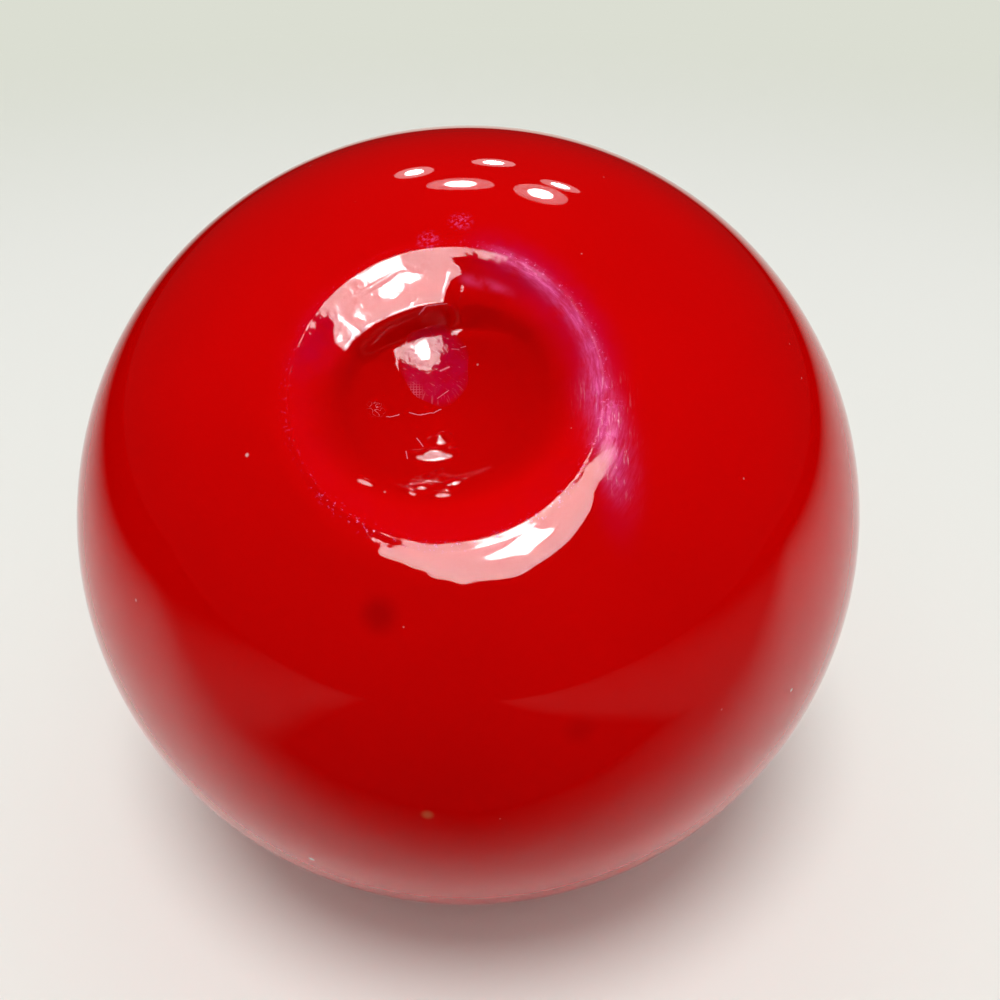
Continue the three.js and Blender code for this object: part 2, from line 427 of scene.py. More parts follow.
kick_along = plain_y / (given["Kick Half Length"] + inset)
to_rim = ((1.0 - length(kick_across, kick_along)) / given["Kick Wall"]).most(0.0).least(1.0)
kick = bowl * to_rim * to_rim * (3.0 - to_rim * 2.0)
crown_rise = (given["Crown Rise"] - inset) * crown_angle.sin() ** fullness
plain_z = inset + seat + shelf + end_drop + kick + (crown_rise - crown_fall(crown_radius, given))
flat_place = joined(body_rule, plain_x, plain_y, plain_z)


def wave(scale, detail, height):
    """Waviness of the worked glass, up to a height to both sides."""
    return (mottle(body_rule, flat_place, scale, detail) - 0.5) * height * 2.0


lip_wave = wave(*LIP_WAVE_MOTTLE, given["Lip Waves"]) * base_radius.within(*LIP_ZONE)
kick_wave = wave(*KICK_WAVE_MOTTLE, given["Kick Waves"]) * base_radius.rising(*KICK_ZONE)
body_wave = wave(*BODY_WAVE_MOTTLE, given["Body Waves"])
x_mm, y_mm = plain_x * MM_PER_METRE, plain_y * MM_PER_METRE
folds = sum(fold(x_mm, y_mm, *kick_fold) for kick_fold in KICK_FOLDS)
ragged = mottle(body_rule, flat_place, FOLD_RAGGED_SCALE) * FOLD_RAGGED + FOLD_LEAST
folded = folds * ragged * base_radius.rising(*FOLD_ZONE) * outside / MM_PER_METRE
worked_z = plain_z + lip_wave + kick_wave + body_wave - folded
low_point = body_rule.nodes.new("GeometryNodeAttributeStatistic")
body_rule.links.new(net, low_point.inputs["Geometry"])
body_rule.links.new(worked_z.socket, low_point.inputs["Attribute"])
standing_z = worked_z - Measure(body_rule, low_point.outputs["Min"])
close_surface(body_rule, given, net, joined(body_rule, plain_x, plain_y, standing_z))

RED_ROUGHNESS = 0.025
RED = (0.655, 0.0003, 0.0004)
DEEP_RED = (0.58, 0.0003, 0.0003)
# Painted light: the flank inside the foot ring is a lighter red, for the light that falls on it.
PAINTED_FLANK_LIGHT = (0.70, 0.0003, 0.0004)
# Painted shade: the kick is a darker red, for the shade in its hollow.
PAINTED_KICK_SHADE = (0.50, 0.0002, 0.0002)
SPOT_DARK = (0.22, 0.0002, 0.0008)
DRIFT_SCALE = 0.045
CLOUD_MOTTLE = (0.45, 3.0, 0.55)
FINE_MOTTLE = (3.5, 3.0, 0.6)
DEEP_PATCHES, DEEP_SHARE = (0.3, 0.75), 0.6
BASE_LEVEL = (9.0, 7.0)
KICK_OVAL = (12.0, 9.6)
KICK_SHADE_EDGE, KICK_SHADE_SHARE = (1.08, 0.72), 0.9
LIT_FLANK_INNER, LIT_FLANK_OUTER, LIT_FLANK_SHARE = (0.85, 1.05), (15.5, 12.8), 0.7
# Dark spots under the gloss: place, radius and strength. Places and radii are in millimetres here.
DARK_SPOTS = (
    ((9.1, -17.3, 2.1), 1.3, 0.45),
    ((-4.9, -29.2, 8.6), 1.1, 0.2),
)
DARK_SPOT_SOFTNESS = 0.8
red_glass, tree, shader = new_glass("red_glass", RED_ROUGHNESS)
place = millimetres(tree)
x, y, z = split(tree, place)
out_radius = length(x, y)
around = (y * -1.0).step("ARCTAN2", x * -1.0) * DEGREES + 180.0
low = z.rising(*BASE_LEVEL)
drift = mottle(tree, place, DRIFT_SCALE)
cloud = mottle(tree, place, *CLOUD_MOTTLE)
fine = mottle(tree, place, *FINE_MOTTLE)
colour = tinted(tree, RED, DEEP_RED, drift.rising(*DEEP_PATCHES) * DEEP_SHARE)
kick_oval = length(x / KICK_OVAL[0], y / KICK_OVAL[1])
# Painted light on the flank inside the foot ring.
lit_flank = kick_oval.rising(*LIT_FLANK_INNER) * out_radius.rising(*LIT_FLANK_OUTER) * low
colour = tinted(tree, colour, PAINTED_FLANK_LIGHT, lit_flank * LIT_FLANK_SHARE)
# Painted shade in the kick's hollow.
colour = tinted(tree, colour, PAINTED_KICK_SHADE, kick_oval.rising(*KICK_SHADE_EDGE) * low * KICK_SHADE_SHARE)
for spot_place, spot_radius, depth in DARK_SPOTS:
    dark = spot(tree, place, spot_place, spot_radius, spot_radius * DARK_SPOT_SOFTNESS)
    colour = tinted(tree, colour, SPOT_DARK, dark * depth)

# Wear of the ring that it stands on: a broad scuffed stretch that drifts off the ring, thin haze on
# the other side, fine scratches, pits along the crest, and hair scratches and specks in the kick.
HAZE = (0.50, 0.001, 0.05)
SCUFF_PINK = (0.88, 0.10, 0.36)
PALE_SCRATCH = (0.94, 0.42, 0.55)
SEED_TAN = (0.56, 0.12, 0.05)
DUST_PALE = (0.86, 0.28, 0.28)
SPECK_WHITE = (0.95, 0.75, 0.74)
# Stretches of the ring, in degrees round it, where each kind of wear begins and ends.
SCUFFED_TURN = (112.0, 130.0), (232.0, 210.0)
WIDER_TURN = (168.0, 215.0)
HAZED_TURN = (104.0, 128.0), (240.0, 215.0)
LEFT_HAZE_TURN = (12.0, 32.0), (60.0, 42.0)
SHELF_RUB_TURN = (106.0, 112.0), (138.0, 124.0)
SCRATCHED_TURN = (184.0, 198.0), (228.0, 216.0)
PITTED_TURN = (95.0, 130.0), (345.0, 320.0)
# Radii in millimetres of each ring of wear, and how far it spreads to both sides. The scratches'
# radius is counted from the middle of the scuffed stretch.
SCUFF_RING = 12.85
SCUFF_SPREAD, WIDER_BY = 0.6, 0.9
HAZE_SPREAD = 1.7
LEFT_HAZE_RING = (12.2, 1.5)
SHELF_RUB_RING = (10.9, 0.35)
SCRATCH_RING = (0.3, 1.5)
CREST_RING = (13.55, 0.42)
# How the scuffed stretch drifts off the ring at its two ends.
LATE_DRIFT_FROM, LATE_DRIFT_POWER, LATE_DRIFT = 188.0, 1.7, 0.0085
EARLY_DRIFT_TO, EARLY_DRIFT = 150.0, 0.016
RUBBED_SPOTS = (
    ((-1.4, 14.0, 0.1), 0.75),
    ((-4.6, 15.5, 0.5), 0.8),
    ((-13.6, -4.6, 0.1), 0.6),
    ((-12.4, -6.7, 0.1), 0.7),
)
RUB_SOFTNESS = 0.6
# How each kind of wear is broken up: its grain, where its patches begin and end, and its strength.
RUBS_OUT, RUBS_ROUND, RUB_MOTTLE = 4.0, 0.16, (1.0, 4.0, 0.65)
RUB_PATCHES, RUB_SHARE = (0.35, 0.68), 0.5
SCUFF_PATCHES, SCUFF_SHARE, SCUFF_LEAST = (0.35, 0.65), 0.3, 0.16
HAZE_PATCHES, HAZE_SHARE = (0.1, 0.6), 0.75
LEFT_HAZE_SHARE, LEFT_HAZE_LEAST = 0.35, 0.05
SHELF_RUB_PATCHES, SHELF_RUB_SHARE = (0.3, 0.6), 0.35
RUBBED_PATCHES, RUBBED_SHARE = (0.45, 0.68), 0.55
GRAIN_ACROSS, GRAIN_ALONG, GRAIN_MOTTLE = (6.0, 1.4), (-0.12, 0.55), (0.8, 3.0, 0.7)
GRAIN_LINES = (0.56, 0.66)
SCRATCH_PATCHES, SCRATCH_SHARE = (0.35, 0.6), 0.75
PIT_PATCHES, PIT_SHARE, PIT_LEAST = (0.60, 0.66), 0.7, 0.2
SCUFF_ROUGHNESS, SCRATCH_ROUGHNESS, PIT_ROUGHNESS, MOST_ROUGHNESS = 0.35, 0.2, 0.3, 0.5
# Hair scratches in the kick by their two ends, a tangle of them, specks, a seed and dust.
KICK_HAIRS = (
    ((5.5, 0.1), (4.4, 0.2)),
    ((3.5, 0.3), (2.8, 0.0)),
    ((2.8, 0.0), (2.2, -0.1)),
    ((2.2, -0.1), (0.7, 0.0)),
    ((0.8, 8.1), (0.0, 8.5)),
    ((0.0, 8.5), (-1.8, 8.5)),
    ((3.3, -2.4), (2.9, -3.4)),
    ((4.4, -3.6), (4.4, -4.4)),
)
HAIR_WIDTH, HAIR_WOBBLE, WOBBLE_SCALE, HAIR_SHARE = 0.045, 0.6, 0.9, 0.55
TANGLE = ((6.0, 0.9, 3.0), 0.75)
TANGLE_SOFTNESS, TANGLE_MOTTLE, TANGLE_WIDTH = 0.4, (2.3, 1.0), (0.024, 0.008)
WHITE_SPECKS = (
    ((31.5, -9.2, 11.6), 0.22),
    ((22.3, -34.8, 24.8), 0.30),
    ((17.4, -1.7, 1.2), 0.20),
    ((-15.8, -26.0, 9.3), 0.16),
    ((-26.2, -29.4, 20.6), 0.20),
    ((-18.0, -30.0, 14.0), 0.14),
    ((-3.3, 3.3, 4.2), 0.10),
    ((-5.1, 1.9, 4.1), 0.08),
    ((10.3, 3.7, 2.0), 0.10),
    ((4.5, -2.0, 3.2), 0.07),
    ((6.7, -7.4, 1.2), 0.07),
)
SPECK_SOFTNESS = 0.1
TAN_SEED = ((9.4, -33.2, 13.5), 0.5)
SEED_SOFTNESS, SEED_SHARE = 0.3, 0.75
DUST_SCALE, DUST_SIZE, DUST_SPARSENESS, DUST_SHARE = 0.22, (0.028, 0.012), 0.55, 0.6


def ringed(distance, middle, width):
    """1 at a distance, with a soft fall to both sides of it."""
    return ((distance - middle) / width).hump()


def strongest(marks):
    """The strongest of several marks at each place."""
    return reduce(Measure.most, marks)


def hairline(x, y, start, end, width):
    """1 along a fine scratch from start to end, as seen along the axis, and 0 beside it."""
    run, rise = end[0] - start[0], end[1] - start[1]
    far = ((x - start[0]) * run + (y - start[1]) * rise) / (run * run + rise * rise)
    far = far.most(0.0).least(1.0)
    return length(x - start[0] - far * run, y - start[1] - far * rise).rising(width, 0.3 * width)


late_drift = (around - LATE_DRIFT_FROM).most(0.0) ** LATE_DRIFT_POWER * LATE_DRIFT
early_drift = (EARLY_DRIFT_TO - around).most(0.0) * EARLY_DRIFT
off_band = out_radius - (late_drift + early_drift + SCUFF_RING)
stripe = off_band / (around.rising(*WIDER_TURN) * WIDER_BY + SCUFF_SPREAD)
worn = stripe.hump() * around.within(*SCUFFED_TURN) * low
rub_place = joined(tree, out_radius * RUBS_OUT, around * RUBS_ROUND, 0.0)
rubs = mottle(tree, rub_place, *RUB_MOTTLE)
broken = rubs.rising(*RUB_PATCHES) * RUB_SHARE + cloud.rising(*SCUFF_PATCHES) * SCUFF_SHARE
scuffed = worn * (broken + SCUFF_LEAST)
haze = (off_band / HAZE_SPREAD).hump() * around.within(*HAZED_TURN) * HAZE_SHARE
left_haze = around.within(*LEFT_HAZE_TURN) * LEFT_HAZE_SHARE + LEFT_HAZE_LEAST
haze = haze.most(ringed(out_radius, *LEFT_HAZE_RING) * left_haze) * low
colour = tinted(tree, colour, HAZE, haze * cloud.rising(*HAZE_PATCHES))
colour = tinted(tree, colour, SCUFF_PINK, scuffed)
shelf_rub = ringed(out_radius, *SHELF_RUB_RING) * around.within(*SHELF_RUB_TURN) * low
shelf_rub = shelf_rub * cloud.rising(*SHELF_RUB_PATCHES) * SHELF_RUB_SHARE
colour = tinted(tree, colour, SCUFF_PINK, shelf_rub)
rubbed_spots = strongest(spot(tree, place, *rub, RUB_SOFTNESS) for rub in RUBBED_SPOTS)
rubbed_spots = rubbed_spots * fine.rising(*RUBBED_PATCHES) * RUBBED_SHARE
colour = tinted(tree, colour, SCUFF_PINK, rubbed_spots)
across = x * GRAIN_ACROSS[0] + y * GRAIN_ACROSS[1]
lengthwise = x * GRAIN_ALONG[0] + y * GRAIN_ALONG[1]
grain = mottle(tree, joined(tree, across, lengthwise, z), *GRAIN_MOTTLE)
scratch_zone = ringed(off_band, *SCRATCH_RING) * around.within(*SCRATCHED_TURN) * low
scratches = grain.rising(*GRAIN_LINES) * scratch_zone
pale_scratches = scratches * cloud.rising(*SCRATCH_PATCHES) * SCRATCH_SHARE
colour = tinted(tree, colour, PALE_SCRATCH, pale_scratches)
pitted = around.within(*PITTED_TURN) * (1 - PIT_LEAST) + PIT_LEAST
crest_pits = fine.rising(*PIT_PATCHES) * ringed(out_radius, *CREST_RING) * low * pitted
colour = tinted(tree, colour, SCUFF_PINK, crest_pits * PIT_SHARE)
wobbled = y + (mottle(tree, place, WOBBLE_SCALE) - 0.5) * HAIR_WOBBLE
hairs = strongest(hairline(x, wobbled, *hair, HAIR_WIDTH) for hair in KICK_HAIRS)
off_hair = (mottle(tree, place, *TANGLE_MOTTLE) - 0.5).step("ABSOLUTE")
tangle = spot(tree, place, *TANGLE, TANGLE_SOFTNESS) * off_hair.rising(*TANGLE_WIDTH)
colour = tinted(tree, colour, PALE_SCRATCH, hairs.most(tangle) * low * HAIR_SHARE)
specks = strongest(spot(tree, place, *speck, SPECK_SOFTNESS) for speck in WHITE_SPECKS)
colour = tinted(tree, colour, SPECK_WHITE, specks)
dust = tree.nodes.new("ShaderNodeTexVoronoi")
dust.inputs["Scale"].default_value = DUST_SCALE
tree.links.new(place, dust.inputs["Vector"])
chosen, _, _ = split(tree, dust.outputs["Color"])
grit = Measure(tree, dust.outputs["Distance"]).rising(*DUST_SIZE) * chosen.above(DUST_SPARSENESS)
colour = tinted(tree, colour, DUST_PALE, grit * DUST_SHARE)
tan_seed = spot(tree, place, *TAN_SEED, SEED_SOFTNESS) * SEED_SHARE
colour = tinted(tree, colour, SEED_TAN, tan_seed)
tree.links.new(colour, shader.inputs["Base Color"])
rubbed = scuffed * SCUFF_ROUGHNESS + scratches * SCRATCH_ROUGHNESS + crest_pits * PIT_ROUGHNESS
roughness = (rubbed + RED_ROUGHNESS).least(MOST_ROUGHNESS)
tree.links.new(roughness.socket, shader.inputs["Roughness"])

# Unevenness too fine for the mesh: bands in millimetres from the axis, and heights in millimetres.
SHELF_BAND = (8.0, 9.5), (14.2, 13.2)
CREST_BAND = (12.9, 13.3), (14.1, 13.6)
FOOT_BAND = (13.6, 15.4), (19.0, 16.0)
RAGGED_SCALE, SWELL_MOTTLE = 1.2, (0.3, 0.0)
SHELF_RAGGED, CREST_GRAIN = 0.025, 0.006
FOOT_SWELL, SHELF_SWELL = 0.16, 0.15
PIT_DEPTH, SCRATCH_DEPTH = 0.01, 0.005


def raised(tree, shader, height):
    """Gives a finish its fine relief, from heights in millimetres."""
    relief = tree.nodes.new("ShaderNodeBump")
    relief.inputs["Strength"].default_value = 1.0
    relief.inputs["Distance"].default_value = 1 / MM_PER_METRE
    tree.links.new(height.socket, relief.inputs["Height"])
    tree.links.new(relief.outputs["Normal"], shader.inputs["Normal"])


shelf_zone, crest_zone = out_radius.within(*SHELF_BAND), out_radius.within(*CREST_BAND)
foot_zone = out_radius.within(*FOOT_BAND)
ragged = mottle(tree, place, RAGGED_SCALE)
swell = mottle(tree, place, *SWELL_MOTTLE)
dented = ragged * shelf_zone * SHELF_RAGGED + fine * crest_zone * CREST_GRAIN
dented = dented + swell * (foot_zone * FOOT_SWELL + shelf_zone * SHELF_SWELL)
raised(tree, shader, dented * low - crest_pits * PIT_DEPTH - scratches * SCRATCH_DEPTH)

red_casing = made("red_casing_glass", body_rule, BODY_SIZES, red_glass)
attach(red_casing, "root")
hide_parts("red_casing")

# Pontil wad: the thin pad of glass that the second iron left in the kick. It is fused to the red
# glass and was ground off with grit, so its face is hazed and scratched.
PONTIL_CENTRE = (0.00035, 0.0040)
PONTIL_HALF_WIDTH = 0.0033
PONTIL_HALF_LENGTH = 0.0038
PONTIL_PROUD = 0.00006
PONTIL_SUNK = 0.0003
PONTIL_RIM = 0.93
PONTIL_RIM_POWER = 4
# Waves of the pad's outline: size, count and start of each.
PONTIL_LOBES = ((0.05, 3, 0.6), (0.03, 7, 0.0))
PONTIL_RINGS = 14
PONTIL_SEGMENTS = 96
UNDER_THE_FLOOR = -0.01
red_surface = BVHTree.FromPolygons(
    [v.co for v in red_casing.data.vertices], [p.vertices for p in red_casing.data.polygons]
)


def kick_height(x, y):
    """Height of the red glass over a place inside the foot ring."""
    return red_surface.ray_cast(Vector((x, y, UNDER_THE_FLOOR)), Vector((0, 0, 1)))[0].z


def pontil_ring(share, face):
    """One ring of the pad's points, on its face or on its back in the red glass."""
    ring = []
    for i in range(PONTIL_SEGMENTS):
        angle = 2 * math.pi * i / PONTIL_SEGMENTS
        lobes = sum(size * math.sin(count * angle + start) for size, count, start in PONTIL_LOBES)
        x = PONTIL_CENTRE[0] + PONTIL_HALF_WIDTH * share * (1 + lobes) * math.cos(angle)
        y = PONTIL_CENTRE[1] + PONTIL_HALF_LENGTH * share * (1 + lobes) * math.sin(angle)
        face_offset = PONTIL_PROUD * ((share / PONTIL_RIM) ** PONTIL_RIM_POWER - 1)
        ring.append((x, y, kick_height(x, y) + (face_offset if face else PONTIL_SUNK)))
    return ring


pontil_points = []
for step in range(1, PONTIL_RINGS + 1):
    pontil_points += pontil_ring(step / PONTIL_RINGS, True)
for step in range(PONTIL_RINGS, 0, -1):
    pontil_points += pontil_ring(step / PONTIL_RINGS, False)
middle = kick_height(*PONTIL_CENTRE)
pontil_points.append((*PONTIL_CENTRE, middle - PONTIL_PROUD))
pontil_points.append((*PONTIL_CENTRE, middle + PONTIL_SUNK))
pontil_faces = []
for row in range(2 * PONTIL_RINGS - 1):
    for i in range(PONTIL_SEGMENTS):
        j = (i + 1) % PONTIL_SEGMENTS
        a, b = row * PONTIL_SEGMENTS, (row + 1) * PONTIL_SEGMENTS
        pontil_faces.append((a + i, a + j, b + j, b + i))
face_centre = len(pontil_points) - 2
last_row = (2 * PONTIL_RINGS - 1) * PONTIL_SEGMENTS
for i in range(PONTIL_SEGMENTS):
    j = (i + 1) % PONTIL_SEGMENTS
    pontil_faces.append((face_centre, j, i))
    pontil_faces.append((face_centre + 1, last_row + i, last_row + j))
pontil_mesh = bpy.data.meshes.new("pontil_wad_glass")
pontil_mesh.from_pydata(pontil_points, [], pontil_faces)
pontil_mesh.shade_smooth()
pontil_wad = placed("pontil_wad_glass", pontil_mesh)

PONTIL_ROUGHNESS = 0.04
PONTIL_RED = (0.50, 0.0003, 0.002)
PONTIL_HAZE = (0.48, 0.001, 0.030)
PONTIL_SCRATCH = (0.78, 0.16, 0.26)
# Marks on the pad in millimetres: a crosshatched spot, a ring of short spokes, and hair scratches.
HATCH_SPOT = ((2.7, 2.2, 4.4), 0.7)
HATCH_SOFTNESS, HATCH_EDGE = 0.5, (0.5, 0.95)
HATCH_LINES = ((24.0, 5.0), (-4.0, 26.0))
SPOKE_RING = (2.1, 2.5), (3.1, 2.8)
SPOKE_SIDE = (-0.6, -1.6)
SPOKES_ROUND, SPOKES_OUT, SPOKE_LINES = 15.0, 0.5, (0.54, 0.64)
PAD_GRAIN_ALONG, PAD_GRAIN_ACROSS = 0.7, 5.0
PAD_GRAIN_MOTTLE, PAD_GRAIN_LINES = (1.1, 3.0, 0.7), (0.62, 0.7)
PAD_CLOUD_MOTTLE, PAD_CLOUD_PATCHES, PAD_CLOUD_LEAST = (0.8, 4.0, 0.6), (0.2, 0.7), 0.3
SPOKE_SHARE, HATCH_SHARE, PAD_GRAIN_SHARE, PAD_HAIR_SHARE = 0.16, 0.4, 0.4, 0.6
MARK_ROUGHNESS, PAD_HAZE_ROUGHNESS, PAD_LEAST_ROUGHNESS = 0.4, 0.02, 0.03
PONTIL_HAIRS = (
    ((0.8, 1.2), (-0.3, 1.7), 0.05),
    ((-1.4, 5.3), (-2.0, 5.1), 0.05),
    ((-2.2, 5.2), (-2.8, 5.2), 0.05),
    ((0.0, 3.65), (-0.8, 3.8), 0.12),
)
PAD_EDGE = (3.3, 2.3)
PAD_ROUNDNESS = 0.75
PAD_BOWL_PLACE = (1.1, 5.6)
PAD_BOWL_CURVE = 0.022
PAD_RAGGED, MARK_DEPTH = 0.05, 0.008
scuffed_glass, tree, shader = new_glass("scuffed_glass", PONTIL_ROUGHNESS)
place = millimetres(tree)
x, y, z = split(tree, place)
from_x, from_y = x - PONTIL_CENTRE[0] * MM_PER_METRE, y - PONTIL_CENTRE[1] * MM_PER_METRE
pad_radius = (from_x * from_x + from_y * from_y * PAD_ROUNDNESS).root()
pad_turn = from_y.step("ARCTAN2", from_x)
cloud = mottle(tree, place, *PAD_CLOUD_MOTTLE).rising(*PAD_CLOUD_PATCHES)
hazed = (cloud * (1 - PAD_CLOUD_LEAST) + PAD_CLOUD_LEAST) * pad_radius.rising(*PAD_EDGE)
colour = tinted(tree, PONTIL_RED, PONTIL_HAZE, hazed)
spoke_place = joined(tree, pad_turn * SPOKES_ROUND, pad_radius * SPOKES_OUT, 0.0)
spokes = mottle(tree, spoke_place, 1.0).rising(*SPOKE_LINES)
spoke_ring = pad_radius.within(*SPOKE_RING) * from_y.rising(*SPOKE_SIDE)
lines = strongest((x * by_x + y * by_y).sin().rising(*HATCH_EDGE) for by_x, by_y in HATCH_LINES)
hatch = lines * spot(tree, place, *HATCH_SPOT, HATCH_SOFTNESS)
lengthwise = x * PAD_GRAIN_ALONG + y * PAD_GRAIN_ALONG
across = y * PAD_GRAIN_ACROSS - x * PAD_GRAIN_ACROSS
grain = mottle(tree, joined(tree, lengthwise, across, z), *PAD_GRAIN_MOTTLE)
grain_lines = grain.rising(*PAD_GRAIN_LINES) * hazed
hairs = strongest(hairline(x, y, *pad_hair) for pad_hair in PONTIL_HAIRS)
marks = strongest((
    spokes * spoke_ring * SPOKE_SHARE,
    hatch * HATCH_SHARE,
    grain_lines * PAD_GRAIN_SHARE,
    hairs * PAD_HAIR_SHARE,
))
tree.links.new(tinted(tree, colour, PONTIL_SCRATCH, marks), shader.inputs["Base Color"])
roughness = marks * MARK_ROUGHNESS + hazed * PAD_HAZE_ROUGHNESS + PAD_LEAST_ROUGHNESS
tree.links.new(roughness.socket, shader.inputs["Roughness"])
bowl_x, bowl_y = x - PAD_BOWL_PLACE[0], y - PAD_BOWL_PLACE[1]
bowl = (bowl_x * bowl_x + bowl_y * bowl_y) * PAD_BOWL_CURVE
ragged = mottle(tree, place, RAGGED_SCALE)
raised(tree, shader, bowl + ragged * PAD_RAGGED - marks * MARK_DEPTH)
pontil_mesh.materials.append(scuffed_glass)
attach(pontil_wad, "root")
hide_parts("pontil_wad")

# Stem: a bit of hot green glass set over the opening at the crown, drawn out, bent and nipped off.
# Its foot spreads into the dimple and its sides keep the flutes of the drawing.
CROWN_SIZES = {
    "Dimple Depth": BODY_SIZES["Dimple Depth"],
    "Dimple Radius": BODY_SIZES["Dimple Radius"],
    "Crown Top": BODY_SIZES["Equator Height"] + BODY_SIZES["Crown Rise"],
    "Crown Radius": BODY_SIZES["Body Radius"],
    "Crown Rise": BODY_SIZES["Crown Rise"],
    "Crown Fullness": BODY_SIZES["Crown Fullness"],
    "Seat Gap": 0.0003,
}
STEM_SIZES = {
    **CROWN_SIZES,
    "Foot Radius": 0.0056,
    "Foot Thickness": 0.0016,
    "Fillet": 0.0014,
    "Stalk Radius": 0.0030,
    "Tip Radius": 0.0024,
    "Top": 0.0858,
    "Bend": 0.008,
    "Flutes": 7,
    "Flute Depth": 0.06,
    "Twist": 1.4,
    "Segments": 84,
    "Rings": 110,
}


def crown_height(r, given):
    """Height of the red crown at a radius."""
    share = (r / given["Crown Radius"]).least(1.0) ** given["Crown Fullness"]
    cap = (1.0 - share) ** (given["Crown Fullness"] ** -1.0)
    top = given["Crown Top"] - given["Crown Rise"] + given["Crown Rise"] * cap
    return top - crown_fall(r, given)


UNDERSIDE_SHARE = 0.12
RISE_POWER = 1.3
EDGE_ROUNDNESS = 0.35
FLARE_START = 0.8
TWIST_RATE = 4.0
FLUTED_FROM = (0.02, 0.3)
stem_rule, given = new_rule("stem_rule", STEM_SIZES)
net, round_share, along = surface_grid(stem_rule, given)
turn = round_share * (2 * math.pi)
foot_share = (along / UNDERSIDE_SHARE).least(1.0)
rise = ((along - UNDERSIDE_SHARE) / (1 - UNDERSIDE_SHARE)).most(0.0)
seat = crown_height(foot_share * given["Foot Radius"], given) + given["Seat Gap"]
height = given["Top"] - seat
risen = rise ** RISE_POWER * height
to_edge = 1.0 - (risen / given["Foot Thickness"]).least(1.0)
edge_round = 1.0 - to_edge * to_edge * EDGE_ROUNDNESS
past_foot = (risen - given["Foot Thickness"] * FLARE_START).most(0.0)
flare = (past_foot / given["Fillet"] * -1.0).exp()
taper = given["Stalk Radius"] + (given["Tip Radius"] - given["Stalk Radius"]) * rise
to_tip = ((risen - height + given["Tip Radius"]) / given["Tip Radius"]).most(0.0).least(1.0)
tip_round = (1.0 - to_tip * to_tip).root()
flute_turn = turn * given["Flutes"] + rise * given["Twist"] * TWIST_RATE
fluted = 1.0 + flute_turn.cos() * given["Flute Depth"] * rise.rising(*FLUTED_FROM)
side = (taper + (given["Foot Radius"] - taper) * flare) * fluted * tip_round * edge_round
stem_radius = foot_share * side
lean = rise * rise * given["Bend"]
stem_x, stem_y = stem_radius * turn.cos(), stem_radius * turn.sin() - lean
close_surface(stem_rule, given, net, joined(stem_rule, stem_x, stem_y, seat + risen))

GREEN_ROUGHNESS = 0.05
DEEP_GREEN = (0.018, 0.12, 0.014)
LEAF_GREEN = (0.075, 0.30, 0.035)
# The stalk's bend in millimetres, so that the streaks run along it, and how close the streaks lie.
BEND_FROM, BEND_HEIGHT, BEND_POWER = 72.0, 14.0, 1.54
STALK_MIDDLE = 0.3
STREAKS_ROUND, STREAKS_OUT, STREAKS_UP = 8.0, 0.1, 0.06
STREAK_MOTTLE, STREAK_SHARE = (1.0, 4.0, 0.6), 0.8
PATCH_SCALE, PATCH_SHARE = 0.4, 0.2
GREEN_EDGE = (0.34, 0.64)
green_glass, tree, shader = new_glass("green_glass", GREEN_ROUGHNESS)
place = millimetres(tree)
x, y, z = split(tree, place)
bend = ((z - BEND_FROM) / BEND_HEIGHT).most(0.0).least(1.0) ** BEND_POWER
y = y + bend * (STEM_SIZES["Bend"] * MM_PER_METRE)
from_stalk = length(x, y).most(STALK_MIDDLE)
round_x, round_y = x / from_stalk * STREAKS_ROUND, y / from_stalk * STREAKS_ROUND
drawn = joined(tree, round_x, round_y, from_stalk * STREAKS_OUT + z * STREAKS_UP)
streaks = mottle(tree, drawn, *STREAK_MOTTLE) * STREAK_SHARE
patches = mottle(tree, place, PATCH_SCALE) * PATCH_SHARE
green = tinted(tree, DEEP_GREEN, LEAF_GREEN, (streaks + patches).rising(*GREEN_EDGE))
tree.links.new(green, shader.inputs["Base Color"])
stem = made("stem_glass", stem_rule, STEM_SIZES, green_glass)
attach(stem, "root")
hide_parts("stem")

# Sepals: five bits of hot green glass, pressed flat and drawn out to points round the stem. Each
# lies on the red crown, keeps a groove along its middle, and lifts a little at its tip.
SEPAL_SIZES = {
    **CROWN_SIZES,
    "Root": 0.0058,
    "Reach": 0.027,
    "Half Width": 0.0044,
    "Root Thickness": 0.0021,
    "Tip Thickness": 0.0012,
    "Tip Lift": 0.0014,
    "Groove": 0.0004,
    "Sway": 0.0,
    "Angle": 0.0,
    "Segments": 48,
    "Rings": 72,
}
SEPAL_FIRST_ANGLE = 90
SEPAL_STEP = 72
SEPAL_SWAYS = (0.0008, -0.0011, 0.0005, -0.0004, 0.0010)
SEPAL_REACHES = (0.0270, 0.0262, 0.0268, 0.0258, 0.0266)
# The outline of a leaf: its taper and swell, and its widths at the root and where it is widest.
LEAF_TAPER, LEAF_SWELL, LEAF_ROOT, LEAF_WIDEST = 0.9, 1.25, 0.72, 0.797
LEAF_END_SHARE = 0.04
GROOVE_CLOSENESS = 5.0
LIFT_POWER = 3.0


def rounded_end(share):
    """1 along a leaf, with a round fall to 0 at the end where the share begins."""
    short = 1.0 - (share / LEAF_END_SHARE).least(1.0)
    return (1.0 - short * short).most(0.0).root()


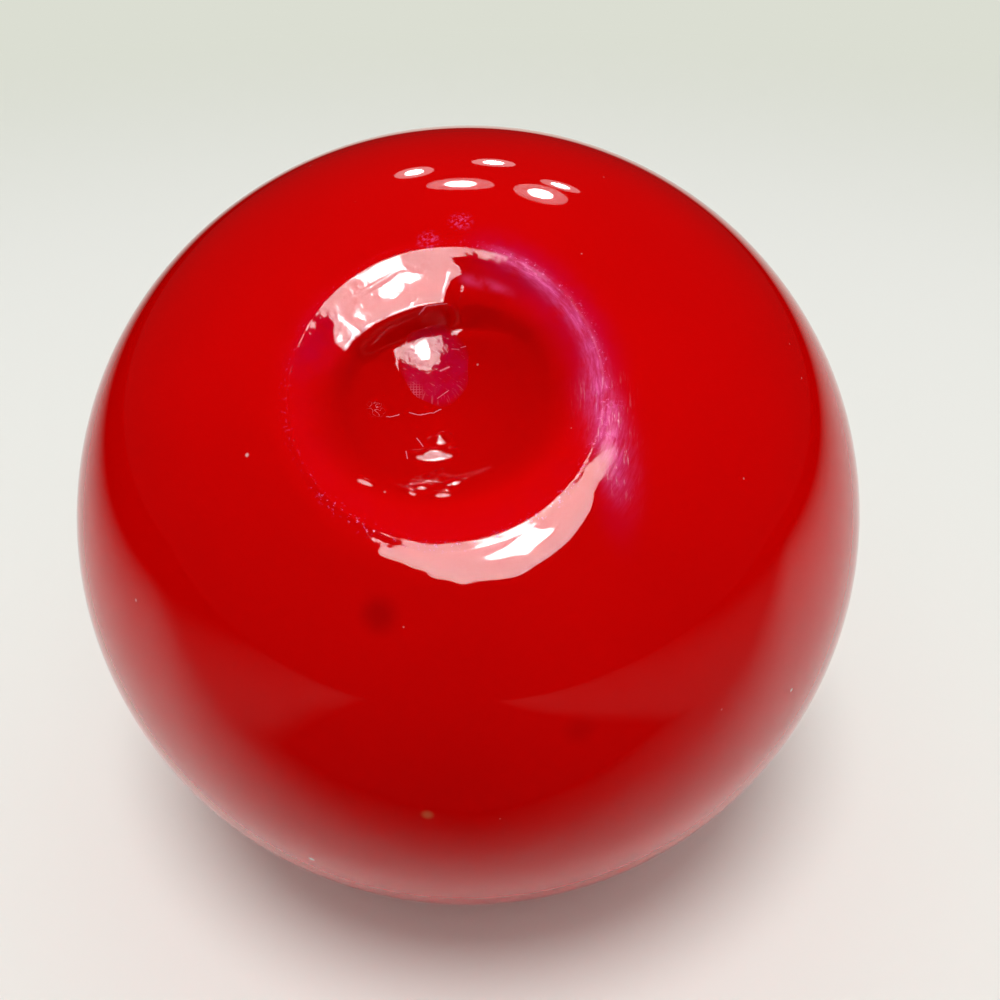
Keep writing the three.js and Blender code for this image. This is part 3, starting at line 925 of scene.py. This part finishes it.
sepal_rule, given = new_rule("sepal_rule", SEPAL_SIZES)
net, round_share, along = surface_grid(sepal_rule, given)
turn = round_share * (2 * math.pi)
out = given["Root"] + (given["Reach"] - given["Root"]) * along
leaf = (1.0 - along) ** LEAF_TAPER * (along * LEAF_SWELL + LEAF_ROOT) / LEAF_WIDEST
ends = rounded_end(along) * rounded_end(1.0 - along)
half_width = given["Half Width"] * leaf * ends
thinning = (given["Tip Thickness"] - given["Root Thickness"]) * along
thick = (given["Root Thickness"] + thinning) * ends
aside = half_width * turn.cos()
middle_line = (aside / given["Half Width"] * GROOVE_CLOSENESS).hump()
groove = middle_line * turn.sin().most(0.0) * given["Groove"] * ends
swayed = aside + given["Sway"] * along * along
tip_lift = given["Tip Lift"] * along ** LIFT_POWER
bed = crown_height(length(out, swayed), given) + given["Seat Gap"] + tip_lift
top = bed + thick * (turn.sin() * 0.5 + 0.5) - groove
cos_angle, sin_angle = given["Angle"].cos(), given["Angle"].sin()
sepal_x, sepal_y = out * cos_angle - swayed * sin_angle, out * sin_angle + swayed * cos_angle
close_surface(sepal_rule, given, net, joined(sepal_rule, sepal_x, sepal_y, top))
for i, (sway, tip_reach) in enumerate(zip(SEPAL_SWAYS, SEPAL_REACHES)):
    angle = math.radians(SEPAL_FIRST_ANGLE + SEPAL_STEP * i)
    sizes = {**SEPAL_SIZES, "Sway": sway, "Reach": tip_reach, "Angle": angle}
    sepal = made(f"sepal_{i + 1}_glass", sepal_rule, sizes, green_glass)
    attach(sepal, "root")
    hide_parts(f"sepal_{i + 1}")

# Camera: near the base and to one side, as in the photograph, where the paperweight lies tipped
# over on its crown and stem. The floor under it there is tilted against the standing floor.
BODY_CENTRE = Vector((0, 0, 0.039))
BODY_PIXEL = (471.2, 510.0)
FRAME_PIXELS = 1000
FOCAL_PIXELS = 1079
SENSOR = 36
NEAR_CLIP = 0.005
CAMERA_DISTANCE = 0.1285
SIGHT = Vector((BODY_PIXEL[0] - FRAME_PIXELS / 2, FRAME_PIXELS / 2 - BODY_PIXEL[1], -FOCAL_PIXELS))
SIGHT.normalize()
BASE_AXIS = Vector((-0.032, 0.272, 0.962)).normalized()
FLOOR_UP = Vector((0, 0.836, 0.549)).normalized()


def triad(first, second):
    """Three axes at right angles: the first way, the second made square to it, and the third."""
    second = (second - first * first.dot(second)).normalized()
    return Matrix((first, second, first.cross(second))).transposed()


tilt = BASE_AXIS.angle(-SIGHT)
to_camera = Vector((0, -math.sin(tilt), -math.cos(tilt)))
turn_to_frame = triad(to_camera, Vector((0, 0, -1))) @ triad(-SIGHT, BASE_AXIS).transposed()
camera_data = bpy.data.cameras.new("camera")
camera_data.sensor_width = SENSOR
camera_data.lens = SENSOR * FOCAL_PIXELS / FRAME_PIXELS
camera_data.clip_start = NEAR_CLIP
camera = placed("camera", camera_data)
camera_place = BODY_CENTRE + to_camera * CAMERA_DISTANCE
camera.matrix_world = Matrix.Translation(camera_place) @ turn_to_frame.to_4x4()
bpy.context.scene.camera = camera

# Floors: a pale one that the paperweight stands on, seen from above, and the same pale one under it
# as it lies tipped over. A ray that comes up through the standing one sees only the second.
FLOOR_COLOUR = (0.825, 0.83, 0.795)
PALE_WALL = (0.84, 0.84, 0.815)
PALE_DISTANCE = (0.71, 0.73, 0.645)
NO_LIGHT = (0.0, 0.0, 0.0)
STANDING_LAYERS = (0.0, -0.00002, -0.00004)
STANDING_REACH = 5.0
# Distances in metres where each floor takes on its far colour, and where the gloss loses it.
STANDING_FADE, LYING_FADE = (0.22, 0.75), (0.18, 0.55)
STANDING_DIMMING, STANDING_LOSS = (0.10, 0.80), 0.8
# Painted shade: the gloss shows the lying floor darker in front of the piece.
FRONT_PAINTED_SHADE, FRONT_SHADE_DEPTH = (0.025, 0.072), 0.82
LEFT_DIMMING = (-0.34, -0.04)
RIGHT_DIMMING, RIGHT_SLANT = (0.65, 0.02), 0.6
lying_up = (turn_to_frame @ FLOOR_UP).normalized()
lowest = min(v.co.dot(lying_up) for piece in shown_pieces() for v in piece.data.vertices)
foot_point = BODY_CENTRE + lying_up * (lowest - BODY_CENTRE.dot(lying_up))
towards = (to_camera - lying_up * to_camera.dot(lying_up)).normalized()
rightwards = lying_up.cross(towards)


def passed_floor(tree, path):
    """1 for a ray that has come up through the standing floor, and 0 for the others."""
    return Measure(tree, path.outputs["Transparent Depth"]).above(len(STANDING_LAYERS) - 0.5)


def empty_material(name):
    """A material whose node tree is still empty, and the tree."""
    material = bpy.data.materials.new(name)
    material.use_nodes = True
    material.node_tree.nodes.clear()
    return material, material.node_tree


def shader_mix(tree, share, under, over):
    """One shader, and another instead by a share."""
    mix = tree.nodes.new("ShaderNodeMixShader")
    tree.links.new(share.socket, mix.inputs[0])
    tree.links.new(under.outputs[0], mix.inputs[1])
    tree.links.new(over.outputs[0], mix.inputs[2])
    return mix


def show_mix(tree, share, under, over):
    """Makes a material show one shader, and another instead by a share."""
    out = tree.nodes.new("ShaderNodeOutputMaterial")
    tree.links.new(shader_mix(tree, share, under, over).outputs[0], out.inputs["Surface"])


def floor_material(name, hidden, far_colour, far_fade, mirrored_share):
    """A pale matt floor whose far part keeps one pale colour and which some rays pass through."""
    material, tree = empty_material(name)
    geometry = tree.nodes.new("ShaderNodeNewGeometry")
    path = tree.nodes.new("ShaderNodeLightPath")
    shown = tree.nodes.new("ShaderNodeAttribute")
    shown.attribute_name = "shown"
    back = Measure(tree, geometry.outputs["Backfacing"])
    seen = Measure(tree, path.outputs["Is Camera Ray"])
    mirrored = Measure(tree, path.outputs["Is Glossy Ray"])
    position = geometry.outputs["Position"]
    away = compared(tree, "DISTANCE", position, foot_point)
    far = away.rising(*far_fade) * seen.most(mirrored)
    near = compared(tree, "DOT_PRODUCT", position, towards) - foot_point.dot(towards)
    side = compared(tree, "DOT_PRODUCT", position, rightwards) - foot_point.dot(rightwards)
    kept = mirrored_share(away, near, side, Measure(tree, shown.outputs["Fac"]))
    # The gloss shows the floor darker by a share, which paints shade in front of the lying floor.
    dimmed = mirrored * (1.0 - kept)
    matt = tree.nodes.new("ShaderNodeBsdfDiffuse")
    tree.links.new(tinted(tree, FLOOR_COLOUR, NO_LIGHT, dimmed), matt.inputs["Color"])
    pale = tree.nodes.new("ShaderNodeEmission")
    tree.links.new(tinted(tree, far_colour, NO_LIGHT, dimmed), pale.inputs["Color"])
    clear = tree.nodes.new("ShaderNodeBsdfTransparent")
    floor = shader_mix(tree, far, matt, pale)
    show_mix(tree, hidden(back, passed_floor(tree, path)), floor, clear)
    return material


def stage_sheet(name, points, faces, material):
    """A thin sheet of the stage, which isn't part of the paperweight."""
    mesh = bpy.data.meshes.new(name)
    mesh.from_pydata(points, [], faces)
    mesh.materials.append(material)
    sheet = placed(name, mesh)
    sheet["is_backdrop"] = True
    return sheet


def standing_mirrored(away, near, side, shown):
    """How much of the standing floor the gloss shows, which is less far off."""
    return 1.0 - away.rising(*STANDING_DIMMING) * STANDING_LOSS


def lying_mirrored(away, near, side, shown):
    """How much of the lying floor the gloss shows: less in front, as painted shade, and far to both
    sides.
    """
    front_unshaded = 1.0 - near.rising(*FRONT_PAINTED_SHADE) * FRONT_SHADE_DEPTH
    to_left = side.rising(*LEFT_DIMMING)
    to_right = (side + near.most(0.0) * RIGHT_SLANT).rising(*RIGHT_DIMMING)
    return shown * front_unshaded * to_left * to_right


square = ((-1, -1), (1, -1), (1, 1), (-1, 1))
standing_material = floor_material(
    "standing_floor",
    lambda back, passed: back.most(passed),
    PALE_WALL,
    STANDING_FADE,
    standing_mirrored,
)
stage_sheet(
    "standing_floor",
    [(STANDING_REACH * x, STANDING_REACH * y, z) for z in STANDING_LAYERS for x, y in square],
    [range(4 * layer, 4 * layer + 4) for layer in range(len(STANDING_LAYERS))],
    standing_material,
)

# Outline of the floor under the tipped piece, as distances towards the camera and to the right of
# the body's foot point. Its near edge is out of the frame, shows only in the glass, and fades out.
# The notch in front leaves the gloss dark there, as painted shade on the floor in front.
LYING_OUTLINE = (
    (-3.0, -2.5),
    (0.22, -2.5),
    (0.205, -0.10),
    (0.115, -0.09),
    (0.07, -0.075),
    (0.062, 0.0),
    (0.085, 0.083),
    (0.128, 0.076),
    (0.176, 0.057),
    (0.255, 0.023),
    (0.28, 0.18),
    (0.30, 2.5),
    (-3.0, 2.5),
)
EDGE_FADE = 0.013


def moved_out(outline, distance):
    """The corners of an outline, each moved outwards by a distance."""
    corners = [Vector(corner) for corner in outline]
    moved = []
    for i, corner in enumerate(corners):
        before, after = corners[i - 1], corners[(i + 1) % len(corners)]
        way = (corner - before).normalized() + (after - corner).normalized()
        moved.append(corner - way.orthogonal().normalized() * distance)
    return moved


corner_count = len(LYING_OUTLINE)
edges = moved_out(LYING_OUTLINE, -EDGE_FADE) + moved_out(LYING_OUTLINE, EDGE_FADE)
strips = [(i, (i + 1) % corner_count) for i in range(corner_count)]
lying_material = floor_material(
    "lying_floor",
    lambda back, passed: back.most(1.0 - passed),
    PALE_DISTANCE,
    LYING_FADE,
    lying_mirrored,
)
lying_floor = stage_sheet(
    "lying_floor",
    [foot_point + towards * a + rightwards * b for a, b in edges],
    [range(corner_count)] + [(j, i, corner_count + i, corner_count + j) for i, j in strips],
    lying_material,
)
if lying_floor.data.polygons[0].normal.dot(lying_up) < 0:
    lying_floor.data.flip_normals()
shown = lying_floor.data.attributes.new("shown", "FLOAT", "POINT")
shown.data.foreach_set("value", [1.0] * corner_count + [0.0] * corner_count)

# Lamps: a soft front light and a light from above for the tipped piece, whose gloss shows a round
# shade and five ceiling lamps, and three soft boxes for the piece as it stands.
FACE_CORNERS = 72
CORE_SOFTNESS = 0.03


def lamp(name, place, aim, width, height, radiance, shape="ELLIPSE", in_gloss=True):
    """A flat lamp of a size and a brightness, which the camera doesn't see."""
    data = bpy.data.lights.new(name, "AREA")
    data.shape = shape
    data.size, data.size_y = width, height
    area = width * height * (math.pi / 4 if shape == "ELLIPSE" else 1)
    data.energy = radiance * math.pi * area
    light = placed(name, data)
    light.location = place
    light.rotation_mode = "QUATERNION"
    light.rotation_quaternion = (aim - place).to_track_quat("-Z", "Y")
    light.visible_glossy = in_gloss
    light.visible_camera = False


def lamp_face(name, place, aim, width, height, rim_radiance, core_radiance, core_share):
    """A round pale face with a bright core, which shows only in the gloss of the tipped piece."""
    material, tree = empty_material(name)
    x, y, _ = split(tree, tree.nodes.new("ShaderNodeTexCoord").outputs["Object"])
    core = length(x, y).rising(core_share + CORE_SOFTNESS, core_share - CORE_SOFTNESS)
    glow = tree.nodes.new("ShaderNodeEmission")
    radiance = core * (core_radiance - rim_radiance) + rim_radiance
    tree.links.new(radiance.socket, glow.inputs["Strength"])
    clear = tree.nodes.new("ShaderNodeBsdfTransparent")
    show_mix(tree, passed_floor(tree, tree.nodes.new("ShaderNodeLightPath")), clear, glow)
    material.cycles.emission_sampling = "NONE"
    turns = [2 * math.pi * i / FACE_CORNERS for i in range(FACE_CORNERS)]
    corners = [(math.cos(t), math.sin(t), 0.0) for t in turns]
    face = stage_sheet(name, corners, [range(FACE_CORNERS)], material)
    facing = (aim - place).to_track_quat("-Z", "Y")
    face.matrix_world = Matrix.LocRotScale(place, facing, Vector((width / 2, height / 2, 1.0)))
    face.visible_camera = face.visible_diffuse = face.visible_shadow = False


def seen_from_camera(right, above, behind):
    """A direction given by its share to the camera's right, above it and behind it."""
    return (turn_to_frame @ Vector((right, above, behind))).normalized()


def spread(degrees, distance):
    """How wide a lamp is that spreads by an angle to both sides, at a distance."""
    return 2 * distance * math.tan(math.radians(degrees))


# Shade, front light and key light: direction, spread in degrees, distance in metres and brightness.
SHADE_DIRECTION = seen_from_camera(0.1016, 0.1673, 1.0)
SHADE_SPREAD, SHADE_DISTANCE = 20.0, 0.60
SHADE_RIM, SHADE_CORE, SHADE_CORE_SHARE = 8.5, 36.0, 0.28
FRONT_SPREAD, FRONT_DISTANCE, FRONT_LEVEL = 18.0, 0.62, 1.0
KEY_DIRECTION = seen_from_camera(-0.03, 0.66, 0.75)
KEY_SPREAD, KEY_DISTANCE, KEY_LEVEL = 12.5, 2.0, 12.4
# Ceiling lamps: the place on the body that mirrors each, its direction, and its spread both ways.
CEILING = (
    ((-0.0014, 0.0234, 0.0041), (-0.041, 0.997, 0.072), 3.2, 3.0),
    ((-0.0053, 0.0202, 0.0027), (-0.172, 0.982, -0.081), 6.0, 3.2),
    ((-0.0091, 0.0232, 0.0050), (-0.248, 0.958, 0.142), 3.4, 2.3),
    ((-0.0124, 0.0176, 0.0031), (-0.404, 0.911, -0.084), 4.8, 4.4),
    ((-0.0145, 0.0187, 0.0043), (-0.438, 0.898, 0.033), 3.4, 1.9),
)
CEILING_DISTANCE = 1.2
CEILING_RIM, CEILING_CORE, CEILING_CORE_SHARE = 1.8, 45.0, 0.46
# Soft boxes: place, width, height and brightness.
SOFT_BOXES = {
    "left_box": ((-0.55, -0.55, 0.75), 0.42, 0.55, 5.0),
    "right_box": ((0.75, 0.15, 0.65), 0.30, 0.55, 4.0),
    "back_box": ((-0.1, 0.55, 0.85), 0.70, 0.25, 3.0),
}
shade_place = BODY_CENTRE + SHADE_DIRECTION * SHADE_DISTANCE
shade_size = spread(SHADE_SPREAD, SHADE_DISTANCE)
shade_light = SHADE_RIM, SHADE_CORE, SHADE_CORE_SHARE
lamp_face("shade", shade_place, BODY_CENTRE, shade_size, shade_size, *shade_light)
front_place = BODY_CENTRE + SHADE_DIRECTION * FRONT_DISTANCE
front_size = spread(FRONT_SPREAD, FRONT_DISTANCE)
lamp("front_light", front_place, BODY_CENTRE, front_size, front_size, FRONT_LEVEL, in_gloss=False)
key_place = BODY_CENTRE + KEY_DIRECTION * KEY_DISTANCE
key_size = spread(KEY_SPREAD, KEY_DISTANCE)
lamp("key_light", key_place, BODY_CENTRE, key_size, key_size, KEY_LEVEL, in_gloss=False)
ceiling_light = CEILING_RIM, CEILING_CORE, CEILING_CORE_SHARE
for i, (mirror_point, direction, wide, high) in enumerate(CEILING):
    mirror_point = Vector(mirror_point)
    face_place = mirror_point + Vector(direction) * CEILING_DISTANCE
    face_size = spread(wide, CEILING_DISTANCE), spread(high, CEILING_DISTANCE)
    lamp_face(f"ceiling_{i + 1}", face_place, mirror_point, *face_size, *ceiling_light)
for name, (box_place, width, height, radiance) in SOFT_BOXES.items():
    lamp(name, Vector(box_place), BODY_CENTRE, width, height, radiance, "RECTANGLE")

# World: pale where the camera sees it. For matt surfaces it is even as the piece stands, and
# brighter from above for the tipped piece. For gloss it is pale as the piece stands, else dark.
WORLD_COLOUR = (1.0, 1.0, 0.97, 1.0)
SEEN_LEVEL, MATT_LEVEL = 0.84, 0.55
LYING_LOW, LYING_HIGH, LYING_RISE = 0.06, 0.48, (-0.1, 0.8)
GLOSS_HORIZON, GLOSS_TOP, GLOSS_RISE = 0.16, 0.38, (0.0, 0.6)
GLOSS_DARK = 0.012
HORIZON = (-0.02, 0.02)
world = bpy.data.worlds.new("world")
bpy.context.scene.world = world
world.use_nodes = True
tree = world.node_tree
background = tree.nodes["Background"]
direction = tree.nodes.new("ShaderNodeTexCoord").outputs["Generated"]
path = tree.nodes.new("ShaderNodeLightPath")
seen = Measure(tree, path.outputs["Is Camera Ray"])
glossy = Measure(tree, path.outputs["Is Glossy Ray"])
passed = passed_floor(tree, path)
_, _, skyward = split(tree, direction)
sky = skyward.rising(*GLOSS_RISE) * (GLOSS_TOP - GLOSS_HORIZON) + GLOSS_HORIZON
gloss_light = sky * (1.0 - passed) + passed * GLOSS_DARK
overhead = compared(tree, "DOT_PRODUCT", direction, lying_up).rising(*LYING_RISE)
lying_light = overhead * (LYING_HIGH - LYING_LOW) + LYING_LOW
from_above = skyward.rising(*HORIZON)
matt_light = lying_light * (1.0 - from_above) + from_above * MATT_LEVEL
unseen_light = glossy * gloss_light + (1.0 - glossy) * matt_light
background.inputs["Color"].default_value = WORLD_COLOUR
strength = seen * SEEN_LEVEL + (1.0 - seen) * unseen_light
tree.links.new(strength.socket, background.inputs["Strength"])

bpy.context.scene.view_settings.view_transform = "Standard"
